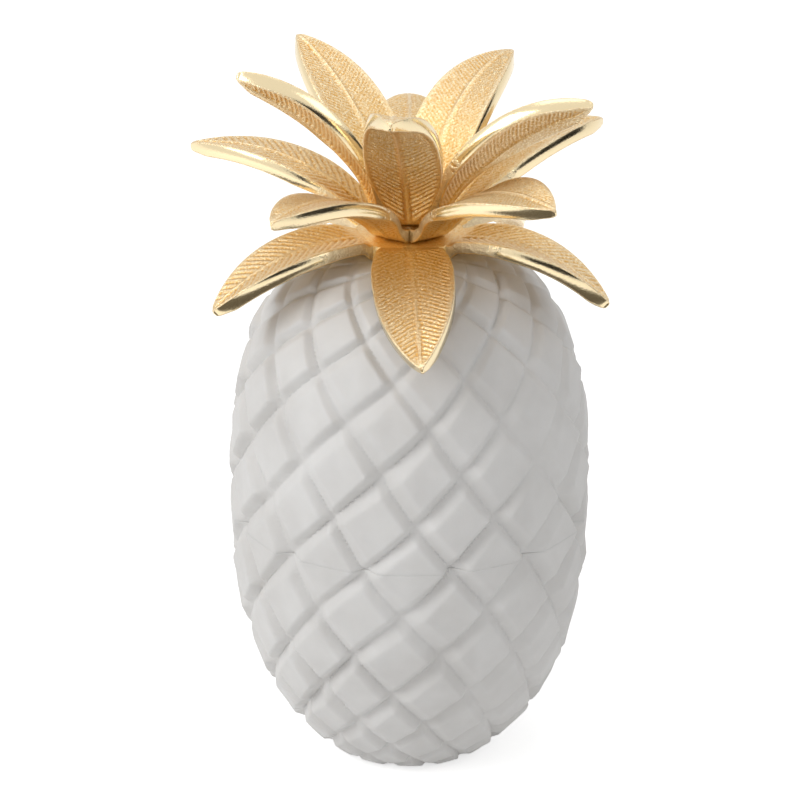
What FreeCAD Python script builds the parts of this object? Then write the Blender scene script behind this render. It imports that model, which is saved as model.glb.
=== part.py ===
import FreeCAD, Part
import math
import os

# Pineapple box: a carved stone bowl with a lift-off stone lid.
# The lid carries a crown of fifteen cast brass leaves, which is its handle.
# Millimetres, +Z up. The origin is the centre of the felt pad's underside.
# Azimuths are in degrees, 0 at the front (-Y) and growing towards +X.

Vector = FreeCAD.Vector
UP = Vector(0, 0, 1)

# Felt pad
PAD_THICKNESS = 1.5
PAD_RADIUS = 27.0

# Stone body, heights measured from the foot of the stone
BODY_RADIUS = 70.2
WIDEST_HEIGHT = 102.5
SEAM_HEIGHT = 100.0
LID_TOP_HEIGHT = 204.0
FOOT_RADIUS = 32.0
LID_TOP_RADIUS = 20.0
BELLY_FULLNESS = 2.4
BELLY_SQUARENESS = 1.92
SHOULDER_FULLNESS = 2.5
SHOULDER_SQUARENESS = 3.3

# Carved lattice of diamonds
DIAMONDS_ROUND = 13
ROW_COUNT_BELOW = 7
ROW_COUNT_ABOVE = 9
SEAM_CROSSING_AZIMUTH = 13.0
ROW_DRIFT = 2.0
GROOVE_DEPTH = 4.0
FACET_SHARE = 0.76
PROFILE_STEPS = 2000

# Walls of the bowl and of the lid
FLOOR_THICKNESS = 10.0
RIM_WIDTH = 13.2
BOWL_WALL = 18.2
LID_WALL = 18.7
LID_CROWN_THICKNESS = 12.0
MOUTH_RADIUS = BODY_RADIUS - RIM_WIDTH
MOUTH_DEPTH = 8.0
BOWL_HOLLOW_RADIUS = BODY_RADIUS - BOWL_WALL
LID_HOLLOW_RADIUS = BODY_RADIUS - LID_WALL
SPIGOT_HEIGHT = 4.0
SPIGOT_CLEARANCE = 0.5
SPIGOT_CHAMFER = 0.8

# Stud, washer and nut that hold the crown
STUD_RADIUS = 3.0
STUD_HOLE_CLEARANCE = 0.4
THREAD_CLEARANCE = 0.1
STUD_TAIL = 3.0
WASHER_RADIUS = 9.0
WASHER_THICKNESS = 1.6
NUT_ACROSS_FLATS = 10.0
NUT_SIDES = 6
NUT_HEIGHT = 5.0
SEAT_MARGIN = 3.0

# Brass castings
PLATE_THICKNESS = 5.5
HUB_FOOT = 1.0
RIB_HALF_WIDTH = 1.1
RIB_HEIGHT = 0.5
TIP_HALF_WIDTH = 1.0
TIP_FULLNESS = 0.8
EDGE_SHARPNESS = 1.25
HUB_SIDES = 5
LEAF_TO_LID = 0.1
FIT_STEPS = 24
LEAF_STATIONS = (0.0, 0.035, 0.07, 0.11, 0.17, 0.24, 0.32, 0.41, 0.5, 0.6, 0.7, 0.8, 0.89, 0.95, 0.98, 1.0)
STEPS_PER_LEAF = 200


class Tier:
    """One ring of five leaves: its hub plate and the casting that its leaves share."""

    def __init__(self, level, apothem, corner_radius, first_side, length, width, widest_at,
                 root_bend, fold):
        self.level = level
        self.apothem = apothem
        self.corner_radius = corner_radius
        self.first_side = first_side
        self.length = length
        self.width = width
        self.widest_at = widest_at
        self.root_bend = root_bend
        self.fold = fold

    def top(self):
        return crown_seat() + HUB_FOOT + (self.level + 1) * PLATE_THICKNESS

    def bottom(self):
        """Underside of the hub; the lowest hub has a foot that keeps its leaves off the stone."""
        return crown_seat() if self.level == 0 else self.top() - PLATE_THICKNESS

    def root_width(self):
        """Width of the hub's flat side, which the leaf's root covers."""
        return 2 * math.sqrt(self.corner_radius ** 2 - self.apothem ** 2)


class Leaf:
    """How one leaf is bent by hand: slopes at root and tip, lean and roll in degrees.

    A leaf that follows the lid is turned down as a whole until it nearly touches the stone.
    """

    def __init__(self, name, tier, side, rise, tip_rise, lean=0, roll=0, curl=1.0,
                 follows_lid=False):
        self.name = name
        self.tier = tier
        self.side = side
        self.rise = rise
        self.tip_rise = tip_rise
        self.lean = lean
        self.roll = roll
        self.curl = curl
        self.follows_lid = follows_lid
        self.droop = 0.0


LOWER = Tier(level=0, apothem=18.0, corner_radius=21.1, first_side=0, length=67.5, width=30.5,
             widest_at=0.30, root_bend=6.0, fold=8)
MIDDLE = Tier(level=1, apothem=10.0, corner_radius=11.3, first_side=36, length=83.0, width=28.5,
              widest_at=0.42, root_bend=8.5, fold=4)
UPPER = Tier(level=2, apothem=7.5, corner_radius=8.8, first_side=0, length=83.0, width=28.5,
             widest_at=0.39, root_bend=6.0, fold=5)

LEAVES = (
    Leaf("lower_leaf_front", LOWER, 0, rise=0, tip_rise=-16, lean=4, roll=15, follows_lid=True),
    Leaf("lower_leaf_right", LOWER, 1, rise=13, tip_rise=-44, lean=-5, roll=-16),
    Leaf("lower_leaf_back_right", LOWER, 2, rise=8, tip_rise=-42, lean=3, roll=4),
    Leaf("lower_leaf_back_left", LOWER, 3, rise=6, tip_rise=-42, lean=-4, roll=-5),
    Leaf("lower_leaf_left", LOWER, 4, rise=7, tip_rise=-42, lean=8, roll=6),
    Leaf("middle_leaf_front_right", MIDDLE, 0, rise=51, tip_rise=-8, lean=1, roll=17),
    Leaf("middle_leaf_right", MIDDLE, 1, rise=51, tip_rise=-6, lean=13, roll=-5),
    Leaf("middle_leaf_back", MIDDLE, 2, rise=48, tip_rise=-9, lean=0, roll=2),
    Leaf("middle_leaf_left", MIDDLE, 3, rise=47, tip_rise=-10, lean=2, roll=6),
    Leaf("middle_leaf_front_left", MIDDLE, 4, rise=47, tip_rise=-10, lean=2, roll=5),
    Leaf("upper_leaf_front", UPPER, 0, rise=60, tip_rise=-9, lean=-7, roll=-4, curl=3.0),
    Leaf("upper_leaf_right", UPPER, 1, rise=64, tip_rise=14, lean=-5, roll=-43),
    Leaf("upper_leaf_back_right", UPPER, 2, rise=77, tip_rise=-2, lean=2, roll=-3),
    Leaf("upper_leaf_back_left", UPPER, 3, rise=65, tip_rise=19, lean=3, roll=-3),
    Leaf("upper_leaf_left", UPPER, 4, rise=74, tip_rise=20, lean=-5, roll=31),
)


def crown_seat():
    """Level of the flat top of the lid, on which the lower hub lies."""
    return PAD_THICKNESS + LID_TOP_HEIGHT


def seam_level():
    return PAD_THICKNESS + SEAM_HEIGHT


# Stone body


def half_span(fullness, squareness, end_radius, end_distance):
    """Height at which one half of the profile would close to a point."""
    reach = (1 - (end_radius / BODY_RADIUS) ** squareness) ** (1 / fullness)
    return end_distance / reach


def body_radius(z):
    """Radius over the diamonds' faces at level z."""
    height = z - PAD_THICKNESS - WIDEST_HEIGHT
    if height < 0:
        fullness, squareness = BELLY_FULLNESS, BELLY_SQUARENESS
        span = half_span(fullness, squareness, FOOT_RADIUS, WIDEST_HEIGHT)
    else:
        fullness, squareness = SHOULDER_FULLNESS, SHOULDER_SQUARENESS
        span = half_span(fullness, squareness, LID_TOP_RADIUS, LID_TOP_HEIGHT - WIDEST_HEIGHT)
    share = min(abs(height) / span, 1)
    return BODY_RADIUS * (1 - share ** fullness) ** (1 / squareness)


def shoulder_level(radius):
    """Level of the lid's outline at a radius."""
    rise = LID_TOP_HEIGHT - WIDEST_HEIGHT
    span = half_span(SHOULDER_FULLNESS, SHOULDER_SQUARENESS, LID_TOP_RADIUS, rise)
    share = (1 - (radius / BODY_RADIUS) ** SHOULDER_SQUARENESS) ** (1 / SHOULDER_FULLNESS)
    return PAD_THICKNESS + WIDEST_HEIGHT + min(share * span, rise)


def row_levels(start, end, count):
    """Levels of the rows of crossings, so that all diamonds keep one shape."""
    pitch = (end - start) / PROFILE_STEPS
    travelled = [0.0]
    for i in range(PROFILE_STEPS):
        z = start + i * pitch
        widening = body_radius(z + pitch) - body_radius(z)
        travelled.append(travelled[-1] + math.hypot(pitch, widening) / body_radius(z + pitch / 2))
    levels = []
    for row in range(count + 1):
        wanted = travelled[-1] * row / count
        i = next(i for i, value in enumerate(travelled) if value >= wanted - 1e-9)
        levels.append(start + i * pitch)
    return levels


def lattice_levels():
    """Row number to level, with row 0 on the seam."""
    below = row_levels(seam_level(), PAD_THICKNESS, ROW_COUNT_BELOW)
    above = row_levels(seam_level(), crown_seat(), ROW_COUNT_ABOVE)
    levels = {-row: z for row, z in enumerate(below)}
    levels.update({row: z for row, z in enumerate(above)})
    return levels


def around(radius, azimuth, z):
    angle = math.radians(azimuth)
    return Vector(radius * math.sin(angle), -radius * math.cos(angle), z)


def crossing(levels, row, column):
    """Where two grooves cross, as azimuth and level."""
    step = 360 / DIAMONDS_ROUND
    azimuth = SEAM_CROSSING_AZIMUTH + row * (step / 2 + ROW_DRIFT) + column * step
    return azimuth, levels[row]


def groove_point(place):
    azimuth, z = place
    radius = body_radius(z)
    return around(radius - GROOVE_DEPTH * radius / BODY_RADIUS, azimuth, z)


def diamond_corners(levels, row, column):
    """Left, top, right and bottom crossing of a diamond; None past the last row."""
    left = crossing(levels, row, column)
    right = crossing(levels, row, column + 1)
    top = crossing(levels, row + 1, column) if row + 1 in levels else None
    bottom = crossing(levels, row - 1, column + 1) if row - 1 in levels else None
    return left, top, right, bottom


def facet_slope(levels, row):
    """How fast the flat facets of one row lean outwards with height."""
    low = levels[max(row - 1, -ROW_COUNT_BELOW)]
    high = levels[min(row + 1, ROW_COUNT_ABOVE)]
    return (body_radius(high) - body_radius(low)) / (high - low)


def facet_point(levels, row, place, centre_azimuth):
    """A corner of the flat facet: pulled in from the crossing, on the facet's plane."""
    azimuth, z = place
    turn = (azimuth - centre_azimuth) * FACET_SHARE
    height = (z - levels[row]) * FACET_SHARE
    corner_turn = math.radians(FACET_SHARE * 180 / DIAMONDS_ROUND)
    plane_radius = body_radius(levels[row]) * math.cos(corner_turn)
    radius = (plane_radius + height * facet_slope(levels, row)) / math.cos(math.radians(turn))
    return around(radius, centre_azimuth + turn, levels[row] + height)


def polygon_face(points):
    return Part.Face(Part.makePolygon(points + [points[0]]))


def diamond_faces(levels, row, column, upper, lower):
    """The facet and bevels of one diamond, or of its upper or lower half."""
    left, top, right, bottom = diamond_corners(levels, row, column)
    centre_azimuth = (left[0] + right[0]) / 2
    ring = [left, top, right] if upper else [left]
    if lower:
        ring = ring + [bottom] if upper else [left, right, bottom]
    outer = [groove_point(place) for place in ring]
    inner = [facet_point(levels, row, place, centre_azimuth) for place in ring]
    faces = [polygon_face(inner)]
    for i, place in enumerate(ring):
        following = (i + 1) % len(ring)
        if place in (left, right) and ring[following] in (left, right):
            continue
        faces.append(polygon_face([outer[i], outer[following], inner[following]]))
        faces.append(polygon_face([outer[i], inner[following], inner[i]]))
    return faces


def rim_face(levels, row):
    """Flat face across the stone through one row of crossings."""
    points = []
    for column in range(DIAMONDS_ROUND):
        left = crossing(levels, row, column)
        right = crossing(levels, row, column + 1)
        centre_azimuth = (left[0] + right[0]) / 2
        points += [groove_point(left), facet_point(levels, row, left, centre_azimuth),
                   facet_point(levels, row, right, centre_azimuth)]
    return polygon_face(points)


def carved_block(first_row, last_row):
    """Solid stone between two rows of crossings, carved all round."""
    levels = lattice_levels()
    faces = [rim_face(levels, first_row), rim_face(levels, last_row)]
    for row in range(first_row, last_row + 1):
        for column in range(DIAMONDS_ROUND):
            faces += diamond_faces(levels, row, column, row < last_row, row > first_row)
    shell = Part.makeShell(faces)
    shell.sewShape()
    block = Part.makeSolid(shell)
    if block.Volume < 0:
        block.reverse()
    return block


def turned_hollow(mouth_radius, mouth_level, ball_radius, ball_level):
    """Round cavity: a ball with a straight or tapered wall from its middle to the mouth."""
    depth = abs(mouth_level - ball_level)
    if mouth_level > ball_level:
        wall = Part.makeCone(ball_radius, mouth_radius, depth, Vector(0, 0, ball_level))
    else:
        wall = Part.makeCylinder(mouth_radius, depth, Vector(0, 0, mouth_level))
    return Part.makeSphere(ball_radius, Vector(0, 0, ball_level)).fuse(wall)


def bowl():
    """Lower half of the body: hollow, with a straight mouth for the lid's spigot."""
    block = carved_block(-ROW_COUNT_BELOW, 0)
    mouth_bottom = seam_level() - MOUTH_DEPTH
    mouth = Part.makeCylinder(MOUTH_RADIUS, MOUTH_DEPTH, Vector(0, 0, mouth_bottom))
    ball_level = PAD_THICKNESS + FLOOR_THICKNESS + BOWL_HOLLOW_RADIUS
    hollow = turned_hollow(MOUTH_RADIUS, mouth_bottom, BOWL_HOLLOW_RADIUS, ball_level)
    return block.cut(hollow.fuse(mouth))


def washer_seat_level():
    return crown_seat() - LID_CROWN_THICKNESS


def spigot():
    """Ring under the lid that drops into the bowl's mouth."""
    radius = MOUTH_RADIUS - SPIGOT_CLEARANCE
    low = seam_level() - SPIGOT_HEIGHT
    lead_in = Part.makeCone(radius - SPIGOT_CHAMFER, radius, SPIGOT_CHAMFER, Vector(0, 0, low))
    body = Part.makeCylinder(radius, 2 * SPIGOT_HEIGHT - SPIGOT_CHAMFER,
                             Vector(0, 0, low + SPIGOT_CHAMFER))
    return lead_in.fuse(body)


def lid():
    """Upper half of the body: hollow, with a spigot below and the stud's hole on top."""
    block = carved_block(0, ROW_COUNT_ABOVE).fuse(spigot())
    low = seam_level() - SPIGOT_HEIGHT
    ball_level = washer_seat_level() - LID_HOLLOW_RADIUS
    hollow = turned_hollow(LID_HOLLOW_RADIUS, low, LID_HOLLOW_RADIUS, ball_level)
    seat = Part.makeCylinder(WASHER_RADIUS + SEAT_MARGIN, LID_HOLLOW_RADIUS, Vector(0, 0, ball_level))
    hole = Part.makeCylinder(STUD_RADIUS + STUD_HOLE_CLEARANCE, LID_CROWN_THICKNESS,
                             Vector(0, 0, washer_seat_level()))
    for cutter in (hollow.fuse(seat), hole):
        block = block.cut(cutter)
    return block


def felt_pad():
    return Part.makeCylinder(PAD_RADIUS, PAD_THICKNESS)


# Crown


def prism(apothem, sides, first_side, height, bottom):
    """Upright prism with equal sides, the first of which faces the given azimuth."""
    corner_radius = apothem / math.cos(math.pi / sides)
    corners = [around(corner_radius, first_side + (side + 0.5) * 360 / sides, bottom)
               for side in range(sides)]
    return polygon_face(corners).extrude(UP * height)


def hub(tier):
    """Five-sided plate with round corners; a leaf is brazed to each of its sides."""
    bottom = tier.bottom()
    thickness = tier.top() - bottom
    plate = prism(tier.apothem, HUB_SIDES, tier.first_side, thickness, bottom)
    disc = Part.makeCylinder(tier.corner_radius, thickness, Vector(0, 0, bottom))
    bore = Part.makeCylinder(STUD_RADIUS + THREAD_CLEARANCE, thickness, Vector(0, 0, bottom))
    return plate.common(disc).cut(bore)


def smooth(share):
    """Goes from 0 to 1 with level ends."""
    share = min(max(share, 0), 1)
    return share * share * (3 - 2 * share)


def leaf_direction(leaf, share):
    """Heading and slope of the leaf's middle line, in radians, at a share of its length."""
    tier = leaf.tier
    started = smooth(share * tier.length / tier.root_bend)
    side_azimuth = tier.first_side + leaf.side * 360 / HUB_SIDES
    heading = side_azimuth + leaf.lean * started
    bend = (leaf.tip_rise - leaf.rise) * share ** leaf.curl
    slope = (leaf.rise + bend - leaf.droop) * started
    return math.radians(heading), math.radians(slope)


def along(heading, slope):
    return Vector(math.cos(slope) * math.sin(heading), -math.cos(slope) * math.cos(heading),
                  math.sin(slope))


def leaf_middle(leaf, share):
    """Point of the middle line on the leaf's upper face."""
    tier = leaf.tier
    side_azimuth = tier.first_side + leaf.side * 360 / HUB_SIDES
    point = around(tier.apothem, side_azimuth, tier.top())
    steps = round(share * STEPS_PER_LEAF)
    for i in range(steps):
        heading, slope = leaf_direction(leaf, (i + 0.5) / STEPS_PER_LEAF)
        point = point + along(heading, slope) * (tier.length / STEPS_PER_LEAF)
    return point


def gap_over_lid(leaf):
    """Least height of the middle of the leaf's underside above the lid's outline."""
    gaps = []
    for share in LEAF_STATIONS:
        heading, slope = leaf_direction(leaf, share)
        lowest = leaf_middle(leaf, share) - along(heading, slope + math.pi / 2) * PLATE_THICKNESS
        radius = math.hypot(lowest.x, lowest.y)
        if radius < BODY_RADIUS:
            gaps.append(lowest.z - shoulder_level(radius))
    return min(gaps)


def lay_on_lid(leaf):
    """Find the droop, between level and upright, that leaves the wanted gap to the lid."""
    least, most = -90.0, 90.0
    for step in range(FIT_STEPS):
        leaf.droop = (least + most) / 2
        if gap_over_lid(leaf) > LEAF_TO_LID:
            least = leaf.droop
        else:
            most = leaf.droop


def leaf_half_width(tier, share):
    """Swells from the hub's side to the full width, then narrows to the tip."""
    full = tier.width / 2
    root = tier.root_width() / 2
    if share < tier.widest_at:
        return root + (full - root) * math.sin(math.pi / 2 * share / tier.widest_at)
    past = (share - tier.widest_at) / (1 - tier.widest_at)
    narrowing = max(math.cos(math.pi / 2 * past ** EDGE_SHARPNESS), 0)
    return max(full * narrowing ** TIP_FULLNESS, TIP_HALF_WIDTH)


def leaf_section(leaf, share):
    """Closed outline across the leaf: folded blade, raised midrib, square edges."""
    tier = leaf.tier
    heading, slope = leaf_direction(leaf, share)
    level_across = Vector(math.cos(heading), math.sin(heading), 0)
    level_up = along(heading, slope).cross(level_across)
    if level_up.dot(along(heading, slope + math.pi / 2)) < 0:
        level_up = level_up * -1
    roll = math.radians(leaf.roll * share)
    across = level_across * math.cos(roll) + level_up * math.sin(roll)
    up = level_up * math.cos(roll) - level_across * math.sin(roll)
    half = leaf_half_width(tier, share)
    rib = min(RIB_HALF_WIDTH, half / 2)
    started = smooth(share * tier.length / tier.root_bend)
    lift = math.tan(math.radians(tier.fold)) * started
    upper_face = [(-half, half * lift), (-rib, rib * lift), (0, RIB_HEIGHT * started),
                  (rib, rib * lift), (half, half * lift)]
    lower_face = [(half, half * lift - PLATE_THICKNESS), (0, -PLATE_THICKNESS),
                  (-half, half * lift - PLATE_THICKNESS)]
    middle = leaf_middle(leaf, share)
    points = [middle + across * x + up * y for x, y in upper_face + lower_face]
    return Part.makePolygon(points + [points[0]])


def leaf_casting(leaf):
    sections = [leaf_section(leaf, share) for share in LEAF_STATIONS]
    return Part.makeLoft(sections, True, True)


def ring(outer, inner, height, bottom):
    place = Vector(0, 0, bottom)
    return Part.makeCylinder(outer, height, place).cut(Part.makeCylinder(inner, height, place))


def stud():
    """Threaded rod from below the nut to the top of the upper hub."""
    low = washer_seat_level() - WASHER_THICKNESS - NUT_HEIGHT - STUD_TAIL
    return Part.makeCylinder(STUD_RADIUS, UPPER.top() - low, Vector(0, 0, low))


def washer():
    return ring(WASHER_RADIUS, STUD_RADIUS + THREAD_CLEARANCE, WASHER_THICKNESS,
                washer_seat_level() - WASHER_THICKNESS)


def nut():
    bottom = washer_seat_level() - WASHER_THICKNESS - NUT_HEIGHT
    hexagon = prism(NUT_ACROSS_FLATS / 2, NUT_SIDES, 0, NUT_HEIGHT, bottom)
    thread = Part.makeCylinder(STUD_RADIUS + THREAD_CLEARANCE, NUT_HEIGHT, Vector(0, 0, bottom))
    return hexagon.cut(thread)


def pieces():
    """Every separate piece, by name."""
    made = {
        "felt_pad": felt_pad(),
        "base_bowl": bowl(),
        "lid_shell": lid(),
        "lower_hub": hub(LOWER),
        "middle_hub": hub(MIDDLE),
        "upper_hub": hub(UPPER),
        "crown_stud": stud(),
        "stud_washer": washer(),
        "stud_nut": nut(),
    }
    for leaf in LEAVES:
        if leaf.follows_lid:
            lay_on_lid(leaf)
        made[leaf.name] = leaf_casting(leaf)
    return made


os.makedirs("parts", exist_ok=True)
for name, shape in pieces().items():
    shape.exportStep("parts/" + name + ".step")
    print(name, "valid" if shape.isValid() else "NOT VALID", len(shape.Solids), "solid",
          round(shape.Volume), "mm3")
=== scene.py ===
import functools
import math

import bmesh
import bpy
import numpy as np
from bpy.props import FloatProperty, FloatVectorProperty, IntProperty, PointerProperty
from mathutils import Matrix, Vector


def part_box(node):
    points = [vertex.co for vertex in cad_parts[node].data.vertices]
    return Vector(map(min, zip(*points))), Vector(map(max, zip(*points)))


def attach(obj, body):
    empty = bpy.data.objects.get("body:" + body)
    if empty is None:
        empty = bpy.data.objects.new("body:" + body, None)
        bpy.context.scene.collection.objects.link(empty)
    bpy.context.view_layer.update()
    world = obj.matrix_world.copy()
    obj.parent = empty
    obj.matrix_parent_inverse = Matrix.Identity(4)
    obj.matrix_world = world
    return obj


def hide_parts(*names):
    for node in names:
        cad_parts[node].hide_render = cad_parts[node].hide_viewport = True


bl_info = {
    "name": "Pineapple Box",
    "version": (1, 0, 0),
    "blender": (4, 5, 0),
    "location": "3D View > Sidebar > Pineapple Box",
    "description": "Carved stone pineapple box with a crown of cast brass leaves",
    "category": "Object",
}

MM = 0.001

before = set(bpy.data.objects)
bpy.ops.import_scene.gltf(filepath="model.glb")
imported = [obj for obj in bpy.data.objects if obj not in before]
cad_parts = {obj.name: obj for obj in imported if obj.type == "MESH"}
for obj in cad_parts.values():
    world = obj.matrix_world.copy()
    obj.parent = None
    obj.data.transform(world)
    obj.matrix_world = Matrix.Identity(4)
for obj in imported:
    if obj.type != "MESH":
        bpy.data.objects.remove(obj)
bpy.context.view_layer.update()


# Sizes that both the stone and the crown need


def top_of(node):
    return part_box(node)[1].z


def bottom_of(node):
    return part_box(node)[0].z


SEAM_LEVEL = top_of("base_bowl")
LID_TOP_LEVEL = top_of("lid_shell")
PLATE_THICKNESS = top_of("middle_hub") - bottom_of("middle_hub")


# Settings that a user would change


class StoneSettings(bpy.types.PropertyGroup):
    """How the stone halves are carved and coloured."""

    groove_depth: FloatProperty(
        name="Groove depth", description="Depth of the grooves between the diamonds",
        default=4.1 * MM, unit="LENGTH")
    groove_width: FloatProperty(
        name="Groove width", description="From a groove's bottom to where the face begins",
        default=4.5 * MM, unit="LENGTH")
    bevel_bias: FloatProperty(
        name="Bevel bias", description="How much broader a diamond's left bevels are than its right",
        default=0.30, subtype="FACTOR")
    pillow_height: FloatProperty(
        name="Pillow height", description="How far each face swells in its middle",
        default=0.4 * MM, unit="LENGTH")
    facet_tilt: FloatProperty(
        name="Facet tilt", description="How far the hand-cut faces lean out of line",
        default=0.7 * MM, unit="LENGTH")
    rim_radius: FloatProperty(
        name="Rim radius", description="Rounding of the two rims that meet at the seam",
        default=0.14 * MM, unit="LENGTH")
    chisel_depth: FloatProperty(
        name="Chisel depth", description="How uneven the hand carving is",
        default=0.30 * MM, unit="LENGTH")
    columns: IntProperty(
        name="Columns", description="Mesh steps round the stone", default=416)
    light_color: FloatVectorProperty(
        name="Light stone", description="Colour of the paler stone",
        default=(0.80, 0.79, 0.775), subtype="COLOR", size=3)
    dark_color: FloatVectorProperty(
        name="Dark stone", description="Colour of the faint clouds in the stone",
        default=(0.70, 0.685, 0.665), subtype="COLOR", size=3)


class CrownSettings(bpy.types.PropertyGroup):
    """How the brass leaves are cast and finished."""

    edge_radius: FloatProperty(
        name="Edge radius", description="Rounding where a leaf's face meets its side wall",
        default=0.5 * MM, unit="LENGTH")
    midrib_half_width: FloatProperty(
        name="Midrib half width", description="Half the width of the raised midrib",
        default=1.1 * MM, unit="LENGTH")
    midrib_height: FloatProperty(
        name="Midrib height", description="Height of the raised midrib",
        default=0.5 * MM, unit="LENGTH")
    length_steps: IntProperty(
        name="Length steps", description="Mesh steps along a leaf", default=260)
    width_steps: IntProperty(
        name="Width steps", description="Mesh steps across a leaf", default=40)
    face_color: FloatVectorProperty(
        name="Cast brass", description="Colour of the sand-cast faces",
        default=(0.76, 0.61, 0.39), subtype="COLOR", size=3)
    # Painted reflection: the brighter orange of light that the leaves throw on one another near the hub
    hub_reflection_color: FloatVectorProperty(
        name="Painted reflection near the hub", description="Warmer colour where the leaves meet",
        default=(1.0, 0.70, 0.28), subtype="COLOR", size=3)
    # Painted shade: the colour the brass is darkened towards between the veins, also used for its random
    # tone
    hollow_shade_and_tone_color: FloatVectorProperty(
        name="Painted shade in hollows", description="Colour between the veins",
        default=(0.69, 0.39, 0.10), subtype="COLOR", size=3)
    wall_color: FloatVectorProperty(
        name="Polished brass", description="Colour of the polished side walls",
        default=(0.82, 0.68, 0.43), subtype="COLOR", size=3)
    # Painted highlight: the colour of the sparkles of light painted on the highest sand grains
    painted_glint_color: FloatVectorProperty(
        name="Painted glints", description="Colour of the grains that stand out and are painted bright as glints",
        default=(0.92, 0.79, 0.53), subtype="COLOR", size=3)


class StudioSettings(bpy.types.PropertyGroup):
    """Camera and light."""

    camera_distance: FloatProperty(
        name="Camera distance", description="From the camera to the point it is aimed at",
        default=1.2, unit="LENGTH")
    camera_elevation: FloatProperty(
        name="Camera elevation", description="Angle of the camera above the horizon",
        default=math.radians(22), subtype="ANGLE")
    aim_height: FloatProperty(
        name="Aim height", description="Height of the point that the camera is aimed at",
        default=0.14, unit="LENGTH")
    lens: FloatProperty(
        name="Lens", description="Focal length in millimetres on a 36 mm sensor", default=140.0)
    shift_x: FloatProperty(name="Shift X", description="Sideways shift", default=-0.0119)
    shift_y: FloatProperty(name="Shift Y", description="Upward shift", default=0.0110)
    key_power: FloatProperty(
        name="Key power", description="Large soft lamp at the left", default=9.2, subtype="POWER")
    fill_power: FloatProperty(
        name="Fill power", description="Soft lamp at the right", default=2.2, subtype="POWER")
    top_power: FloatProperty(
        name="Top power", description="Soft lamp above", default=3.0, subtype="POWER")
    ambient: FloatProperty(
        name="Ambient", description="Strength of the world's light", default=0.45)


class BoxSettings(bpy.types.PropertyGroup):
    """All settings of the pineapple box."""

    stone: PointerProperty(type=StoneSettings, name="Stone", description="Stone halves")
    crown: PointerProperty(type=CrownSettings, name="Crown", description="Brass crown")
    studio: PointerProperty(type=StudioSettings, name="Studio", description="Camera and light")


def settings():
    return bpy.context.scene.pineapple_box


# Shader helpers


class Nodes:
    """Adds and links the nodes of one tree."""

    def __init__(self, tree):
        self.tree = tree

    def add(self, kind, **values):
        node = self.tree.nodes.new(kind)
        for name, value in values.items():
            setattr(node, name, value)
        return node

    def link(self, source, target):
        self.tree.links.new(source, target)

    def feed(self, socket, value):
        """Links a socket to another, or sets its value."""
        if isinstance(value, bpy.types.NodeSocket):
            self.link(value, socket)
        else:
            socket.default_value = value

    def noise(self, coordinates, scale, detail=3.0, roughness=0.5, distortion=0.0):
        node = self.add("ShaderNodeTexNoise")
        self.link(coordinates, node.inputs["Vector"])
        self.feed(node.inputs["Scale"], scale)
        node.inputs["Detail"].default_value = detail
        node.inputs["Roughness"].default_value = roughness
        node.inputs["Distortion"].default_value = distortion
        return node.outputs["Fac"]

    def spread(self, value, low, high, to_low=0.0, to_high=1.0):
        """Maps low..high to to_low..to_high, smoothly and clamped."""
        node = self.add("ShaderNodeMapRange", interpolation_type="SMOOTHSTEP")
        self.link(value, node.inputs["Value"])
        for name, number in (("From Min", low), ("From Max", high),
                             ("To Min", to_low), ("To Max", to_high)):
            self.feed(node.inputs[name], number)
        return node.outputs["Result"]

    def math(self, operation, first, second):
        node = self.add("ShaderNodeMath", operation=operation)
        self.feed(node.inputs[0], first)
        self.feed(node.inputs[1], second)
        return node.outputs["Value"]

    def mix_color(self, factor, first, second):
        node = self.add("ShaderNodeMix", data_type="RGBA")
        self.feed(node.inputs["Factor"], factor)
        for socket, value in ((node.inputs[6], first), (node.inputs[7], second)):
            self.feed(socket, value if isinstance(value, bpy.types.NodeSocket) else (*value, 1.0))
        return node.outputs[2]

    def object_coordinates(self):
        return self.add("ShaderNodeTexCoord").outputs["Object"]

    def attribute(self, name):
        return self.add("ShaderNodeAttribute", attribute_name=name).outputs["Fac"]

    def group(self, tree, **values):
        node = self.add("ShaderNodeGroup", node_tree=tree)
        for name, value in values.items():
            self.feed(node.inputs[name.replace("_", " ").capitalize()], value)
        return node

    def bump(self, height, distance, strength=1.0):
        node = self.add("ShaderNodeBump")
        self.link(height, node.inputs["Height"])
        node.inputs["Distance"].default_value = distance
        node.inputs["Strength"].default_value = strength
        return node.outputs["Normal"]


def new_group(name, inputs, outputs):
    """Empty shader group with the given float inputs and outputs."""
    tree = bpy.data.node_groups.new(name, "ShaderNodeTree")
    for label, default in inputs:
        socket = tree.interface.new_socket(label, in_out="INPUT", socket_type="NodeSocketFloat")
        socket.default_value = default
    for label in outputs:
        tree.interface.new_socket(label, in_out="OUTPUT", socket_type="NodeSocketFloat")
    nodes = Nodes(tree)
    return nodes, nodes.add("NodeGroupInput"), nodes.add("NodeGroupOutput")


def clouds_group():
    """Soft patches of two sizes, as a mask from 0 to 1."""
    name = "Soft clouds"
    if name in bpy.data.node_groups:
        return bpy.data.node_groups[name]
    nodes, inside, outside = new_group(name, [("Scale", 40.0), ("Contrast", 0.5)], ["Mask"])
    place = nodes.object_coordinates()
    broad = nodes.noise(place, inside.outputs["Scale"], detail=2.0, distortion=0.6)
    fine_scale = nodes.math("MULTIPLY", inside.outputs["Scale"], 4.3)
    fine = nodes.noise(place, fine_scale, detail=4.0)
    both = nodes.math("ADD", nodes.math("MULTIPLY", broad, 0.65), nodes.math("MULTIPLY", fine, 0.35))
    low = nodes.math("SUBTRACT", 0.5, nodes.math("MULTIPLY", inside.outputs["Contrast"], 0.35))
    high = nodes.math("ADD", 0.5, nodes.math("MULTIPLY", inside.outputs["Contrast"], 0.35))
    nodes.link(nodes.spread(both, low, high), outside.inputs["Mask"])
    return nodes.tree


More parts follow.
